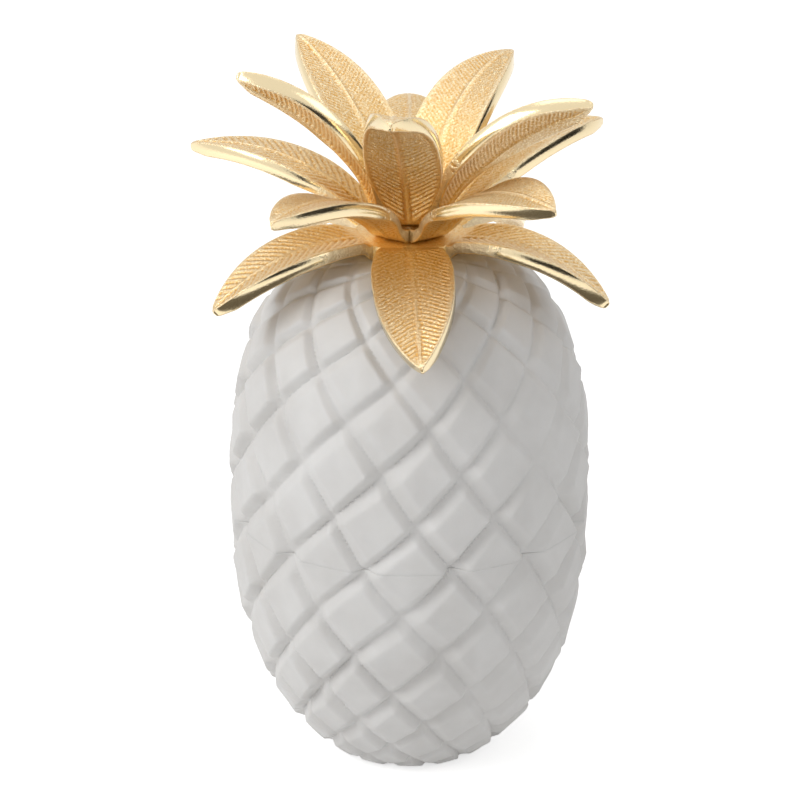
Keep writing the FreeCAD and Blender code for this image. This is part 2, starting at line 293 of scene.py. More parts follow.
def grain_group():
    """Fine grain of cast sand, honed stone or felt, as a height from 0 to 1."""
    name = "Fine grain"
    if name in bpy.data.node_groups:
        return bpy.data.node_groups[name]
    nodes, inside, outside = new_group(name, [("Scale", 1000.0), ("Coarse share", 0.5)], ["Height"])
    place = nodes.object_coordinates()
    coarse = nodes.noise(place, inside.outputs["Scale"], detail=3.0, roughness=0.6)
    fine = nodes.noise(place, nodes.math("MULTIPLY", inside.outputs["Scale"], 2.7), detail=2.0)
    share = inside.outputs["Coarse share"]
    rest = nodes.math("SUBTRACT", 1.0, share)
    height = nodes.math("ADD", nodes.math("MULTIPLY", coarse, share), nodes.math("MULTIPLY", fine, rest))
    nodes.link(height, outside.inputs["Height"])
    return nodes.tree


def new_material(name):
    """New material, a helper for its nodes, and its Principled shader."""
    material = bpy.data.materials.new(name)
    material.use_nodes = True
    return material, Nodes(material.node_tree), material.node_tree.nodes["Principled BSDF"]


def made_once(name):
    """For a function that fills in a material: the named one is made on the first call only."""
    def wrap(fill):
        @functools.wraps(fill)
        def material():
            if name not in bpy.data.materials:
                _, nodes, shader = new_material(name)
                fill(nodes, shader)
            return bpy.data.materials[name]
        return material
    return wrap


@made_once("honed_stone")
def stone_material(nodes, shader):
    """Honed white stone: faint warm and grey clouds, fine pores, matte."""
    stone = settings().stone
    clouds = nodes.group(clouds_group(), scale=26.0, contrast=0.8).outputs["Mask"]
    pores = nodes.group(grain_group(), scale=700.0, coarse_share=0.6).outputs["Height"]
    tone = nodes.mix_color(clouds, stone.light_color, stone.dark_color)
    freckles = nodes.math("MULTIPLY", nodes.spread(pores, 0.62, 0.75), 0.25)
    darker = tuple(channel * 0.86 for channel in stone.dark_color)
    nodes.feed(shader.inputs["Base Color"], nodes.mix_color(freckles, tone, darker))
    nodes.feed(shader.inputs["Roughness"], nodes.spread(pores, 0.3, 0.7, 0.52, 0.68))
    nodes.feed(shader.inputs["Normal"], nodes.bump(pores, 0.12 * MM, 0.5))
    shader.inputs["Subsurface Weight"].default_value = 0.12
    shader.inputs["Subsurface Radius"].default_value = (1.0, 0.9, 0.8)
    shader.inputs["Subsurface Scale"].default_value = 3 * MM


@made_once("cast_brass")
def cast_brass_material(nodes, shader):
    """Sand-cast brass: grainy, with painted orange reflection near the hub, painted shade between the
    veins, darker low points in the grain and painted glints.
    """
    crown = settings().crown
    sand = nodes.group(grain_group(), scale=1100.0, coarse_share=0.6).outputs["Height"]
    clouds = nodes.group(clouds_group(), scale=60.0, contrast=1.0).outputs["Mask"]
    hollow = nodes.attribute("hollow")
    # Painted reflection: orange light between the leaves, painted over the inner part of each leaf and on
    # the hubs
    hub_reflection = nodes.spread(nodes.attribute("leaf_share"), 0.05, 0.62, 0.85, 0.0)
    plain = nodes.mix_color(hub_reflection, crown.face_color, crown.hub_reflection_color)
    # Painted shade between the veins and in the midrib's groove, a little random tone from the clouds, and
    # darker low points of the grain
    depth = nodes.math("ADD", nodes.math("MULTIPLY", hollow, 0.85), nodes.math("MULTIPLY", clouds, 0.1))
    pits = nodes.math("MULTIPLY", nodes.spread(sand, 0.5, 0.38), 0.5)
    depth = nodes.math("MINIMUM", nodes.math("ADD", depth, pits), 1.0)
    tone = nodes.mix_color(depth, plain, crown.hollow_shade_and_tone_color)
    # Painted highlight: glints of light painted on the highest grains of the cast faces
    painted_glints = nodes.math("MULTIPLY", nodes.spread(sand, 0.50, 0.61), 0.9)
    nodes.feed(shader.inputs["Base Color"], nodes.mix_color(painted_glints, tone, crown.painted_glint_color))
    shader.inputs["Metallic"].default_value = 1.0
    nodes.feed(shader.inputs["Roughness"], nodes.spread(sand, 0.3, 0.7, 0.46, 0.24))
    nodes.feed(shader.inputs["Normal"], nodes.bump(sand, 0.55 * MM, 0.9))


@made_once("polished_brass")
def polished_brass_material(nodes, shader):
    """Side walls: polished towards the tip, cast skin left near the root, with painted glints on the skin's
    grains.
    """
    crown = settings().crown
    clouds = nodes.group(clouds_group(), scale=90.0, contrast=0.9).outputs["Mask"]
    sand = nodes.group(grain_group(), scale=700.0, coarse_share=0.6).outputs["Height"]
    share = nodes.attribute("leaf_share")
    edge = nodes.math("ADD", share, nodes.math("MULTIPLY", clouds, 0.16))
    skin = nodes.spread(edge, 0.34, 0.46, 1.0, 0.0)
    tone = nodes.mix_color(skin, crown.wall_color, crown.face_color)
    # Painted highlight: glints of light painted on the grains of the cast skin near the root
    painted_glints = nodes.math("MULTIPLY", nodes.spread(sand, 0.5, 0.64), skin)
    nodes.feed(shader.inputs["Base Color"], nodes.mix_color(painted_glints, tone, crown.painted_glint_color))
    shader.inputs["Metallic"].default_value = 1.0
    nodes.feed(shader.inputs["Roughness"],
               nodes.math("ADD", nodes.spread(skin, 0.0, 1.0, 0.13, 0.40),
                          nodes.math("MULTIPLY", clouds, 0.06)))
    height = nodes.math("MULTIPLY", sand, nodes.spread(skin, 0.0, 1.0, 0.06, 1.0))
    nodes.feed(shader.inputs["Normal"], nodes.bump(height, 1.0 * MM, 0.9))


BRIGHT_STEEL = (0.62, 0.62, 0.60)
DULL_STEEL = (0.50, 0.49, 0.45)


@made_once("plated_steel")
def steel_material(nodes, shader):
    """Plated steel of the stud, washer and nut."""
    clouds = nodes.group(clouds_group(), scale=220.0, contrast=0.9).outputs["Mask"]
    grain = nodes.group(grain_group(), scale=2200.0, coarse_share=0.4).outputs["Height"]
    nodes.feed(shader.inputs["Base Color"], nodes.mix_color(clouds, BRIGHT_STEEL, DULL_STEEL))
    shader.inputs["Metallic"].default_value = 1.0
    nodes.feed(shader.inputs["Roughness"], nodes.spread(clouds, 0.0, 1.0, 0.28, 0.42))
    nodes.feed(shader.inputs["Normal"], nodes.bump(grain, 0.05 * MM, 0.5))


FELT = (0.060, 0.060, 0.066)
DARK_FELT = (0.035, 0.035, 0.040)
LINT = (0.12, 0.12, 0.13)


@made_once("wool_felt")
def felt_material(nodes, shader):
    """Dark wool felt with loose fibres."""
    fibres = nodes.group(grain_group(), scale=1500.0, coarse_share=0.4).outputs["Height"]
    clouds = nodes.group(clouds_group(), scale=120.0, contrast=0.7).outputs["Mask"]
    tone = nodes.mix_color(clouds, FELT, DARK_FELT)
    lint = nodes.math("MULTIPLY", nodes.spread(fibres, 0.5, 0.75), 0.5)
    nodes.feed(shader.inputs["Base Color"], nodes.mix_color(lint, tone, LINT))
    shader.inputs["Roughness"].default_value = 0.95
    shader.inputs["Sheen Weight"].default_value = 0.3
    nodes.feed(shader.inputs["Normal"], nodes.bump(fibres, 0.5 * MM, 0.9))


# Mesh helpers

SHARP_ANGLE = math.radians(30)


def only(piece):
    """Makes one object the selected and active one."""
    bpy.ops.object.select_all(action="DESELECT")
    piece.select_set(True)
    bpy.context.view_layer.objects.active = piece


def in_edit_mode(piece, mode="FACE"):
    """Opens one object in edit mode, ready to select faces, edges or vertices."""
    only(piece)
    bpy.ops.object.mode_set(mode="EDIT")
    bpy.ops.mesh.select_mode(type=mode)


def merged_copy(node, name):
    """New piece from a CAD node's mesh, with its triangles joined into flat faces."""
    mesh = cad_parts[node].data.copy()
    mesh.name = name
    mesh.materials.clear()
    piece = bpy.data.objects.new(name, mesh)
    bpy.context.scene.collection.objects.link(piece)
    in_edit_mode(piece)
    bpy.ops.mesh.select_all(action="SELECT")
    bpy.ops.mesh.remove_doubles(threshold=0.002 * MM)
    bpy.ops.mesh.customdata_custom_splitnormals_clear()
    bpy.ops.mesh.dissolve_limited(angle_limit=math.radians(0.4))
    bpy.ops.object.mode_set(mode="OBJECT")
    return piece


def bevel_sharp_edges(piece, radius, segments):
    """Rounds the edges whose two faces meet at more than the sharp angle."""
    in_edit_mode(piece, "EDGE")
    bpy.ops.mesh.select_all(action="DESELECT")
    mesh = bmesh.from_edit_mesh(piece.data)
    for edge in mesh.edges:
        edge.select = len(edge.link_faces) == 2 and edge.calc_face_angle(0.0) > SHARP_ANGLE
    mesh.select_flush_mode()
    bmesh.update_edit_mesh(piece.data)
    bpy.ops.mesh.bevel(offset=radius, segments=segments, affect="EDGES", clamp_overlap=True)
    bpy.ops.object.mode_set(mode="OBJECT")


def smooth_shading(piece, degrees):
    """Shades smoothly, except over edges sharper than the given angle."""
    only(piece)
    bpy.ops.object.shade_smooth_by_angle(angle=math.radians(degrees))


def flat_grid(name, columns, rows):
    """A flat grid, one unit each way, for its vertices to be put in place."""
    bpy.ops.object.select_all(action="DESELECT")
    bpy.ops.mesh.primitive_grid_add(x_subdivisions=columns, y_subdivisions=rows, size=1.0)
    piece = bpy.context.object
    piece.name = piece.data.name = name
    return piece


def vertex_places(mesh):
    """The places of all vertices, one row each."""
    places = np.empty(len(mesh.vertices) * 3)
    mesh.vertices.foreach_get("co", places)
    return places.reshape(-1, 3)


def ease(value):
    """Goes from 0 to 1 with level ends."""
    value = np.clip(value, 0, 1)
    return value * value * (3 - 2 * value)


def ramp(value, start, stop):
    """0 before start, 1 past stop, and a smooth rise between them."""
    return ease((value - start) / (stop - start))


def stretch(value, start, full, fading, end):
    """Rises from start to full, stays at 1, and falls from fading to end."""
    return ramp(value, start, full) * (1 - ramp(value, fading, end))


def finish_piece(piece, body, nodes, materials):
    """Gives a piece its materials, puts it on its body and hides the CAD nodes that it replaces."""
    for material in materials:
        piece.data.materials.append(material)
    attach(piece, body)
    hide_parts(*nodes)


def dressed_copy(node, name, body, material, radius, segments=2):
    """A CAD node's own shape, with rounded edges and its finish."""
    piece = merged_copy(node, name)
    bevel_sharp_edges(piece, radius, segments)
    smooth_shading(piece, 40)
    finish_piece(piece, body, [node], [material])


# Stone halves

BODY_RADIUS = 70.2 * MM
FOOT_LEVEL = bottom_of("base_bowl")
WIDEST_LEVEL = FOOT_LEVEL + 102.5 * MM
FOOT_RADIUS = 32 * MM
LID_TOP_RADIUS = 20 * MM
BELLY = (2.4, 1.92)
SHOULDER = (2.5, 3.3)
DIAMONDS_ROUND = 13
ROWS_BELOW = 7
ROWS_ABOVE = 9
FIRST_CROSSING = math.radians(13)
ROW_DRIFT = math.radians(2)
DIAMOND_STEP = 2 * math.pi / DIAMONDS_ROUND
ROW_OFFSET = 0.5 + ROW_DRIFT / DIAMOND_STEP
FACET_SHARE = 0.76
BOWL_BALL_RADIUS = 52 * MM
BOWL_FLOOR = 10 * MM
LID_HOLLOW_RADIUS = 51.5 * MM
MOUTH_RADIUS = 57 * MM
MOUTH_DEPTH = 8 * MM
SPIGOT_HEIGHT = 4 * MM
SPIGOT_RADIUS = 56.5 * MM
SPIGOT_CHAMFER = 0.8 * MM
SEAT_RADIUS = 12 * MM
STUD_HOLE_RADIUS = 3.4 * MM
BROKEN_EDGE = 0.3 * MM
WASHER_SEAT = top_of("stud_washer")
BOWL_BALL_LEVEL = FOOT_LEVEL + BOWL_FLOOR + BOWL_BALL_RADIUS
LID_BALL_LEVEL = WASHER_SEAT - LID_HOLLOW_RADIUS

# Grooves: over 1 their sides are hollow, and where two cross they are deeper by this share

GROOVE_HOLLOWNESS = 1.1
CROSSING_DEPTH = 0.3

# Facets, in shares of the facet tilt: how deep they all lie and how far they differ

FACET_SINK = 0.7
FACET_STEP = 0.3

# Rims: extra rounding in the grooves, and the distance over which the carving turns level

RIM_IN_GROOVES = 5.5
CARVING_TURNS = 6 * MM

# A patch on the right of the lid, in radians and metres, where the grooves are worn shallow

WORN_AZIMUTH = 0.75
WORN_WIDTH = 0.6
WORN_LEVEL = 165 * MM
WORN_HEIGHT = 40 * MM
WORN_LOSS = 0.4

# Mesh rows of the two halves

BOWL_ROWS = 176
LID_ROWS = 184
BOWL_BALL_ROWS = 26
LID_BALL_ROWS = 22
FIRST_ROW = 1.2 * MM


def body_radius(level):
    """Radius over the diamonds' faces at each level."""
    height = level - WIDEST_LEVEL
    halves = []
    for (fullness, squareness), end_radius, distance in (
            (BELLY, FOOT_RADIUS, WIDEST_LEVEL - FOOT_LEVEL),
            (SHOULDER, LID_TOP_RADIUS, LID_TOP_LEVEL - WIDEST_LEVEL)):
        reach = (1 - (end_radius / BODY_RADIUS) ** squareness) ** (1 / fullness)
        share = np.clip(np.abs(height) * reach / distance, 0, 1)
        halves.append(BODY_RADIUS * (1 - share ** fullness) ** (1 / squareness))
    return np.where(height < 0, halves[0], halves[1])


class Outline:
    """The body's outline from the seam to one end: lengths along it, slopes and diamond rows."""

    def __init__(self, end, rows):
        level = np.linspace(SEAM_LEVEL, end, 4001)
        radius = body_radius(level)
        step = np.hypot(np.diff(level), np.diff(radius))
        self.level = level
        self.length = np.concatenate([[0], np.cumsum(step)])
        turns = np.concatenate([[0], np.cumsum(step / ((radius[1:] + radius[:-1]) / 2))])
        self.row = turns / turns[-1] * rows
        self.row_pitch = turns[-1] / abs(rows)
        self.upward = -np.gradient(radius, self.length) * math.copysign(1, end - SEAM_LEVEL)

    def levels(self, rows):
        """Levels at even steps along the outline, from a short way past the seam to the end."""
        return np.interp(np.linspace(FIRST_ROW, self.length[-1], rows), self.length, self.level)

    def at(self, level, values):
        """The outline's values at other levels."""
        if self.level[-1] > self.level[0]:
            return np.interp(level, self.level, values)
        return np.interp(-level, -self.level, values)


def waves(place, size, seed):
    """Smooth pattern between about -1 and 1; the odd factors keep its six waves out of line."""
    total = np.zeros(place.shape[:-1])
    for i in range(6):
        turn = 2.4 * (i + 1) + seed
        tilt = math.sin(1.7 * i + 3.1 * seed)
        direction = np.array([math.cos(turn), math.sin(turn), tilt])
        direction = direction / np.linalg.norm(direction)
        pitch = size * (0.75 + 0.13 * i)
        total += np.sin(place @ direction * (2 * math.pi / pitch) + 5.3 * seed + 1.9 * i)
    return total / 2.6


class Drift:
    """A slow change over the stone: its strength, the length of its waves and its pattern."""

    def __init__(self, strength, size, seed):
        self.strength = strength
        self.size = size
        self.seed = seed

    def at(self, place):
        return self.strength * waves(place, self.size, self.seed)


ROW_WANDER = Drift(0.05, 75 * MM, 1.0)
COLUMN_WANDER = Drift(0.04, 68 * MM, 2.0)
WIDTH_CHANGE = Drift(0.16, 46 * MM, 3.0)
DEPTH_CHANGE = Drift(0.22, 58 * MM, 4.0)
BROAD_CHISEL = Drift(0.5, 17 * MM, 5.0)
FINE_CHISEL = Drift(0.225, 7 * MM, 6.0)


def scatter(column, row, seed):
    """A steady number between -1 and 1 for each diamond, as if drawn by lot."""
    value = np.sin(column * 12.9898 + row * 78.233 + seed * 37.719) * 43758.5453
    return 2 * (value - np.floor(value)) - 1


def groove_lines(outline, azimuth, level, place):
    """The two crossing sets of grooves, each as a number that is whole at a groove's bottom."""
    row = outline.at(level, outline.row) + ROW_WANDER.at(place)
    across = (azimuth - FIRST_CROSSING) / DIAMOND_STEP + COLUMN_WANDER.at(place)
    first = across - row * ROW_OFFSET
    return first, first + row


def groove_shares(outline, lines, plain, place):
    """How far down each set of grooves a place is, from 0 on the faces to 1 at the bottom."""
    stone = settings().stone
    width = DIAMOND_STEP * plain
    height = 2 * outline.row_pitch * plain
    spacing = width * height / np.hypot(width, height)
    scale = plain / BODY_RADIUS
    groove_width = stone.groove_width * scale * (1 + WIDTH_CHANGE.at(place))
    shares = []
    for line in lines:
        beside = line - np.round(line)
        bevel = groove_width * (1 + stone.bevel_bias * np.sign(beside))
        shares.append((1 - np.clip(np.abs(beside) * spacing / bevel, 0, 1)) ** GROOVE_HOLLOWNESS)
    return shares


def groove_bottom(azimuth, level, scale, place):
    """Depth of the grooves, which changes slowly and is less in the worn patch."""
    depth = settings().stone.groove_depth * scale * (1 + DEPTH_CHANGE.at(place))
    worn = np.exp(-((azimuth - WORN_AZIMUTH) / WORN_WIDTH) ** 2
                  - ((level - WORN_LEVEL) / WORN_HEIGHT) ** 2)
    return depth * (1 - WORN_LOSS * worn)


def face_depth(lines, azimuth, plain, scale):
    """How far the faces lie inside the round body: flat, then leaning and a little pillowed."""
    stone = settings().stone
    first, second = lines
    in_first = first - np.floor(first) - 0.5
    in_second = second - np.floor(second) - 0.5
    column = np.mod(np.floor(first), DIAMONDS_ROUND)
    row = np.floor(second) - np.floor(first)
    middle = FIRST_CROSSING + DIAMOND_STEP * (np.floor(first) + 0.5 + row * ROW_OFFSET)
    corner = FACET_SHARE * DIAMOND_STEP / 2
    turn = np.clip(np.abs(azimuth - middle), 0, corner)
    flat = plain * (1 - math.cos(corner) / np.cos(turn))
    lean = in_first * scatter(column, row, 1) + in_second * scatter(column, row, 2)
    lean = stone.facet_tilt * (lean - FACET_SINK + FACET_STEP * scatter(column, row, 3))
    pillow = 2 * stone.pillow_height * (in_first ** 2 + in_second ** 2)
    return (flat + lean + pillow) * scale


def carved_surface(outline, azimuth, level):
    """Radius, level and groove share of the carved outside, for rows of levels round the body."""
    azimuth, level = np.meshgrid(azimuth, level)
    plain = body_radius(level)
    scale = plain / BODY_RADIUS
    place = np.stack([plain * np.sin(azimuth), -plain * np.cos(azimuth), level], axis=-1)
    lines = groove_lines(outline, azimuth, level, place)
    first, second = groove_shares(outline, lines, plain, place)
    crossing = first * second
    groove = first + second - crossing
    bottom = groove_bottom(azimuth, level, scale, place)
    face = face_depth(lines, azimuth, plain, scale)
    uneven = settings().stone.chisel_depth * (BROAD_CHISEL.at(place) + FINE_CHISEL.at(place))
    cut = bottom * (groove + CROSSING_DEPTH * crossing) + (1 - groove) * face + uneven * scale

    from_ends = np.minimum(np.abs(level - SEAM_LEVEL), np.abs(level - outline.level[-1]))
    leaning = ramp(from_ends, 0, CARVING_TURNS)
    upward = outline.at(level, outline.upward) * leaning
    outward = np.sqrt(1 - upward ** 2)
    return plain - cut * outward, level - cut * upward, groove


def rim_rows(outline, azimuth, towards):
    """Rounded corner of the rim at the seam, wider in the grooves; it starts on the outside."""
    stone = settings().stone
    radius, _, groove = carved_surface(outline, azimuth, np.array([SEAM_LEVEL]))
    corner = stone.rim_radius * (1 + RIM_IN_GROOVES * groove[0] ** 2)
    rows = []
    for angle in (0, 30, 60, 90):
        inward = corner * (1 - math.cos(math.radians(angle)))
        above = corner * (1 - math.sin(math.radians(angle)))
        rows.append((radius[0] - inward, SEAM_LEVEL + towards * above))
    return rows


def ball_rows(radius, middle, start, stop, steps):
    """Circles on a ball between two angles above its middle."""
    angles = np.radians(np.linspace(start, stop, steps))
    return [(radius * math.cos(angle), middle + radius * math.sin(angle)) for angle in angles]


def turned_block(name, rows, azimuth):
    """Closed mesh from rows of radius and level that run round the stud's line."""
    piece = flat_grid(name, len(azimuth) - 1, len(rows) - 1)
    mesh = piece.data
    flat = vertex_places(mesh)
    column = np.rint((flat[:, 0] + 0.5) * (len(azimuth) - 1)).astype(int)
    line = np.rint((flat[:, 1] + 0.5) * (len(rows) - 1)).astype(int)
    radius = np.array([np.broadcast_to(r, azimuth.shape) for r, _ in rows])[line, column]
    level = np.array([np.broadcast_to(z, azimuth.shape) for _, z in rows])[line, column]
    turn = azimuth[column]
    place = np.stack([radius * np.sin(turn), -radius * np.cos(turn), level], axis=-1)
    mesh.vertices.foreach_set("co", place.ravel())
    in_edit_mode(piece)
    bpy.ops.mesh.select_all(action="SELECT")
    bpy.ops.mesh.remove_doubles(threshold=0.001 * MM)
    bpy.ops.mesh.dissolve_degenerate(threshold=0.0001 * MM)
    bpy.ops.mesh.normals_make_consistent(inside=False)
    bpy.ops.object.mode_set(mode="OBJECT")
    smooth_shading(piece, 42)
    return piece


def round_azimuths():
    return np.linspace(-math.pi, math.pi, settings().stone.columns + 1)


def carved_bowl():
    """Bowl: flat foot, carved outside, rim, straight mouth and round hollow."""
    azimuth = round_azimuths()
    outline = Outline(FOOT_LEVEL, -ROWS_BELOW)
    radius, level, _ = carved_surface(outline, azimuth, outline.levels(BOWL_ROWS))
    outside = list(zip(radius, level))
    foot = radius[-1]
    rows = [(0 * foot, FOOT_LEVEL), (foot / 2, FOOT_LEVEL)]
    rows += outside[::-1] + rim_rows(outline, azimuth, -1)
    rows += [(MOUTH_RADIUS + BROKEN_EDGE, SEAM_LEVEL), (MOUTH_RADIUS, SEAM_LEVEL - BROKEN_EDGE),
             (MOUTH_RADIUS, SEAM_LEVEL - MOUTH_DEPTH)]
    rows += ball_rows(BOWL_BALL_RADIUS, BOWL_BALL_LEVEL, 0, -90, BOWL_BALL_ROWS)
    return turned_block("carved_bowl", rows, azimuth)


def carved_lid():
    """Lid: carved outside, rim, spigot, round hollow, seat for the washer and stud hole."""
    azimuth = round_azimuths()
    outline = Outline(LID_TOP_LEVEL, ROWS_ABOVE)
    radius, level, _ = carved_surface(outline, azimuth, outline.levels(LID_ROWS))
    outside = list(zip(radius, level))
    low = SEAM_LEVEL - SPIGOT_HEIGHT
    rows = [(STUD_HOLE_RADIUS, WASHER_SEAT), (STUD_HOLE_RADIUS, LID_TOP_LEVEL)]
    rows += outside[::-1] + rim_rows(outline, azimuth, 1)
    rows += [(SPIGOT_RADIUS, SEAM_LEVEL), (SPIGOT_RADIUS, low + SPIGOT_CHAMFER),
             (SPIGOT_RADIUS - SPIGOT_CHAMFER, low), (LID_HOLLOW_RADIUS + BROKEN_EDGE, low),
             (LID_HOLLOW_RADIUS, low + BROKEN_EDGE)]
    seat_angle = math.degrees(math.acos(SEAT_RADIUS / LID_HOLLOW_RADIUS))
    rows += ball_rows(LID_HOLLOW_RADIUS, LID_BALL_LEVEL, 0, seat_angle, LID_BALL_ROWS)
    rows += [(SEAT_RADIUS, WASHER_SEAT), (STUD_HOLE_RADIUS, WASHER_SEAT)]
    return turned_block("carved_lid", rows, azimuth)


class PINEAPPLE_OT_stone(bpy.types.Operator):
    """Carve the stone bowl and the stone lid"""

    bl_idname = "pineapple_box.stone"
    bl_label = "Stone halves"

    def execute(self, context):
        finish_piece(carved_bowl(), "base", ["base_bowl"], [stone_material()])
        finish_piece(carved_lid(), "lid", ["lid_shell"], [stone_material()])
        return {"FINISHED"}


# Crown


class Tier:
    """One ring of five leaves, with lengths in millimetres and the fold in degrees.

    The root's thinning and the widest place are shares; the hub's place comes from the frame.
    """

    def __init__(self, hub, first_side, length, width, widest_at, root_width, root_bend, fold,
                 root_thinning, root_flare):
        low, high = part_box(hub)
        self.first_side = first_side
        self.top = high.z
        self.apothem = -low.y if first_side == 0 else high.y
        self.length = length * MM
        self.width = width * MM
        self.widest_at = widest_at
        self.root_width = root_width * MM
        self.root_bend = root_bend * MM
        self.fold = fold
        self.root_thinning = root_thinning
        self.root_flare = root_flare * MM


class Leaf:
    """How one leaf is bent, in degrees, and the pitch and depth of its veins, in millimetres.

    A curl over 1 keeps more of the bend for the tip.
    """

    def __init__(self, name, tier, side, rise, tip_rise, lean, roll, veins, curl=1.0):
        self.name = name
        self.tier = tier
        self.side = side
        self.rise = rise
        self.tip_rise = tip_rise
        self.lean = lean
        self.roll = roll
        self.curl = curl
        self.vein_pitch = veins[0] * MM
        self.vein_depth = veins[1] * MM


LOWER = Tier("lower_hub", first_side=0, length=67.5, width=30.5, widest_at=0.30,
             root_width=22.02, root_bend=6.0, fold=8, root_thinning=0.15, root_flare=0.0)
MIDDLE = Tier("middle_hub", first_side=36, length=83.0, width=28.5, widest_at=0.42,
              root_width=10.52, root_bend=8.5, fold=4, root_thinning=0.42, root_flare=2.1)
UPPER = Tier("upper_hub", first_side=0, length=83.0, width=28.5, widest_at=0.39,
             root_width=9.21, root_bend=6.0, fold=5, root_thinning=0.3, root_flare=0.8)

LEAVES = (
    Leaf("lower_leaf_front", LOWER, 0, rise=-13.8, tip_rise=-29.8, lean=4, roll=15, veins=(2.1, 0.38)),
    Leaf("lower_leaf_right", LOWER, 1, rise=13, tip_rise=-44, lean=-5, roll=-16, veins=(2.9, 0.52)),
    Leaf("lower_leaf_back_right", LOWER, 2, rise=8, tip_rise=-42, lean=3, roll=4, veins=(2.4, 0.38)),
    Leaf("lower_leaf_back_left", LOWER, 3, rise=6, tip_rise=-42, lean=-4, roll=-5, veins=(2.2, 0.38)),
    Leaf("lower_leaf_left", LOWER, 4, rise=7, tip_rise=-42, lean=8, roll=6, veins=(3.1, 0.55)),
    Leaf("middle_leaf_front_right", MIDDLE, 0, rise=51, tip_rise=-8, lean=1, roll=17, veins=(1.5, 0.38)),
    Leaf("middle_leaf_right", MIDDLE, 1, rise=51, tip_rise=-6, lean=13, roll=-5, veins=(2.0, 0.45)),
    Leaf("middle_leaf_back", MIDDLE, 2, rise=48, tip_rise=-9, lean=0, roll=2, veins=(2.0, 0.38)),
    Leaf("middle_leaf_left", MIDDLE, 3, rise=47, tip_rise=-10, lean=2, roll=6, veins=(3.3, 0.6)),
    Leaf("middle_leaf_front_left", MIDDLE, 4, rise=47, tip_rise=-10, lean=2, roll=5, veins=(1.5, 0.38)),
    Leaf("upper_leaf_front", UPPER, 0, rise=60, tip_rise=-9, lean=-7, roll=-4, curl=3.0, veins=(2.3, 0.80)),
    Leaf("upper_leaf_right", UPPER, 1, rise=64, tip_rise=14, lean=-5, roll=-43, veins=(1.9, 0.38)),
    Leaf("upper_leaf_back_right", UPPER, 2, rise=77, tip_rise=-2, lean=2, roll=-3, veins=(1.7, 0.38)),
    Leaf("upper_leaf_back_left", UPPER, 3, rise=65, tip_rise=19, lean=3, roll=-3, veins=(1.7, 0.38)),
    Leaf("upper_leaf_left", UPPER, 4, rise=74, tip_rise=20, lean=-5, roll=31, veins=(2.4, 0.65)),
)

LINE_STEPS = 200
TIP_HALF_WIDTH = 1.0 * MM
TIP_FULLNESS = 0.8
EDGE_SHARPNESS = 1.25
ROOT_FLARE_LENGTH = 8 * MM

# Rounding of the very tip: how far it reaches back, how much narrower and how much thinner it gets

TIP_ROUNDING = 2.2 * MM
TIP_NARROWING = 0.7
TIP_THINNING = 1.4 * MM

# Parts of the length, in shares from the hub: start, full, fading and end, or start and end

THINNED_LENGTH = (0.0, 0.08, 0.18, 0.45)
VEINED_LENGTH = (0.02, 0.10, 0.90, 0.97)
GROOVED_LENGTH = (0.02, 0.07, 0.88, 1.0)
RIBBED_END = (0.94, 1.0)
GROUND_END = (0.88, 1.0)
GROUND_LOSS = 0.3

# Veins run towards the tip with this slant and bow; they fade over the margin, which is in
# shares of the half width, and a crest under 1 makes them broad with narrow hollows between

VEIN_SLANT = 0.62
VEIN_BOW = 12
VEIN_CREST = 0.6
VEIN_START = 0.8 * MM
MARGIN = (0.78, 0.93)

# Midrib: its taper is a share, its shoulder, groove and the first vein lie in its half widths

RIB_TAPER = 0.45
RIB_EDGE = 1.25
RIB_SHOULDER = 1.35
RIB_GROOVE = 1.45
RIB_GROOVE_WIDTH = 0.35 * MM
RIB_GROOVE_DEPTH = 0.28 * MM
# Painted shade in the midrib's groove, as a share of the painted shade between the veins
RIB_GROOVE_SHADE = 0.8

# The most of the half width that the rounded edge takes, and how far mesh steps crowd there

EDGE_LIMIT = 0.6
EDGE_CROWDING = 0.55


def leaf_direction(leaf, share):
    """Heading and slope of the middle line, in radians, and how far the bend has started."""
    tier = leaf.tier
    started = ramp(share * tier.length, 0, tier.root_bend)
    heading = tier.first_side + leaf.side * 72 + leaf.lean * started
    slope = (leaf.rise + (leaf.tip_rise - leaf.rise) * share ** leaf.curl) * started
    return np.radians(heading), np.radians(slope), started


def along(heading, slope):
    """Direction with the given heading from the front and slope, as a unit vector."""
    return np.stack([np.cos(slope) * np.sin(heading), -np.cos(slope) * np.cos(heading),
                     np.sin(slope)], axis=-1)


def leaf_frames(leaf, share):
    """Middle point, across and up direction of the leaf at each share of its length."""
    tier = leaf.tier
    step = tier.length / LINE_STEPS
    middles = (np.arange(LINE_STEPS) + 0.5) / LINE_STEPS
    heading, slope, _ = leaf_direction(leaf, middles)
    side = math.radians(tier.first_side + leaf.side * 72)
    start = np.array([tier.apothem * math.sin(side), -tier.apothem * math.cos(side), tier.top])
    line = start + np.vstack([np.zeros(3), np.cumsum(along(heading, slope) * step, axis=0)])
    knots = np.linspace(0, 1, LINE_STEPS + 1)
    middle = np.stack([np.interp(share, knots, line[:, axis]) for axis in range(3)], axis=-1)
    heading, slope, started = leaf_direction(leaf, share)
    level_across = np.stack([np.cos(heading), np.sin(heading), 0 * heading], axis=-1)
    level_up = along(heading, slope + math.pi / 2)
    roll = np.radians(leaf.roll * share)[:, None]
    across = level_across * np.cos(roll) + level_up * np.sin(roll)
    up = level_up * np.cos(roll) - level_across * np.sin(roll)
    return middle, across, up, started


